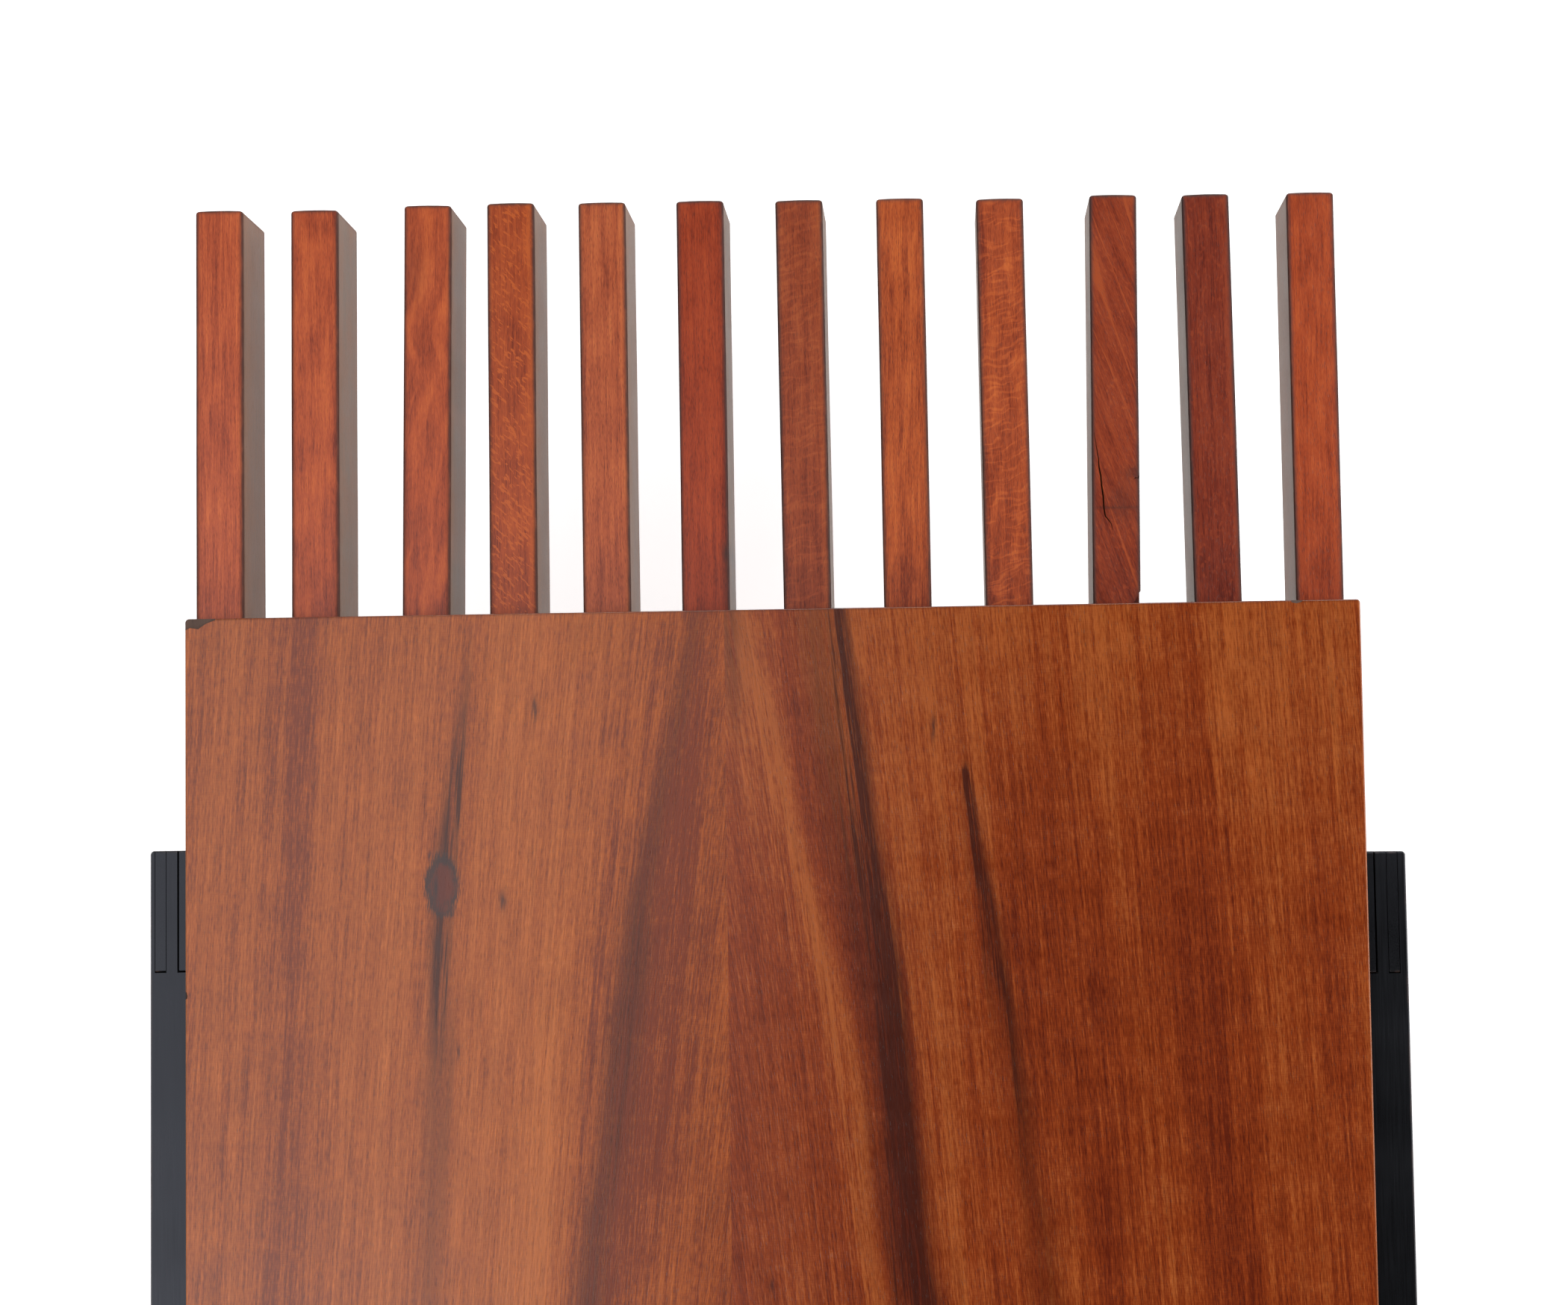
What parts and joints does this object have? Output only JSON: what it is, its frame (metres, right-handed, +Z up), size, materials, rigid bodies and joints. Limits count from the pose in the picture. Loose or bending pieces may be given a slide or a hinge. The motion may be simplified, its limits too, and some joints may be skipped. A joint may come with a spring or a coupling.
{
  "type": "slatted coffee table",
  "caption": "Low slatted wooden coffee table: bare slat ends run out from under a thin veneered board, between black side frames with comb-jointed legs.",
  "frame": {"origin": "on the floor, under the middle of the table", "axes": "+X to the right across the slats, +Y along the slats to the back end, +Z up"},
  "size_m": [0.644, 1.2021, 0.38],
  "materials": {
    "slat_wood": "satin",
    "board_veneer": "satin",
    "lipping_wood": "satin",
    "core_wood": "matte",
    "backing_wood": "matte",
    "black_lacquer": "semi-gloss black lacquer",
    "dowel_wood": "matte",
    "screw_steel": "zinc plated",
    "glide_nylon": "moulded nylon"
  },
  "bodies": {
    "root": {"slat_01": "slat_wood", "slat_02": "slat_wood", "slat_03": "slat_wood", "slat_04": "slat_wood", "slat_05": "slat_wood", "slat_06": "slat_wood", "slat_07": "slat_wood", "slat_08": "slat_wood", "slat_09": "slat_wood", "slat_10": "slat_wood", "slat_11": "slat_wood", "slat_12": "slat_wood", "left_rail": "black_lacquer", "right_rail": "black_lacquer", "front_left_leg": "black_lacquer", "back_left_leg": "black_lacquer", "front_right_leg": "black_lacquer", "back_right_leg": "black_lacquer", "front_cross_rail": "black_lacquer", "back_cross_rail": "black_lacquer", "left_face_veneer": "board_veneer", "right_face_veneer": "board_veneer", "left_lipping": "lipping_wood", "right_lipping": "lipping_wood", "front_lipping": "lipping_wood", "back_lipping": "lipping_wood", "board_core": "core_wood", "backing_veneer": "backing_wood", "cross_rail_dowels": "dowel_wood", "slat_screws": "screw_steel", "board_screws": "screw_steel", "glide_nails": "screw_steel", "foot_glides": "glide_nylon"}
  },
  "joints": []
}
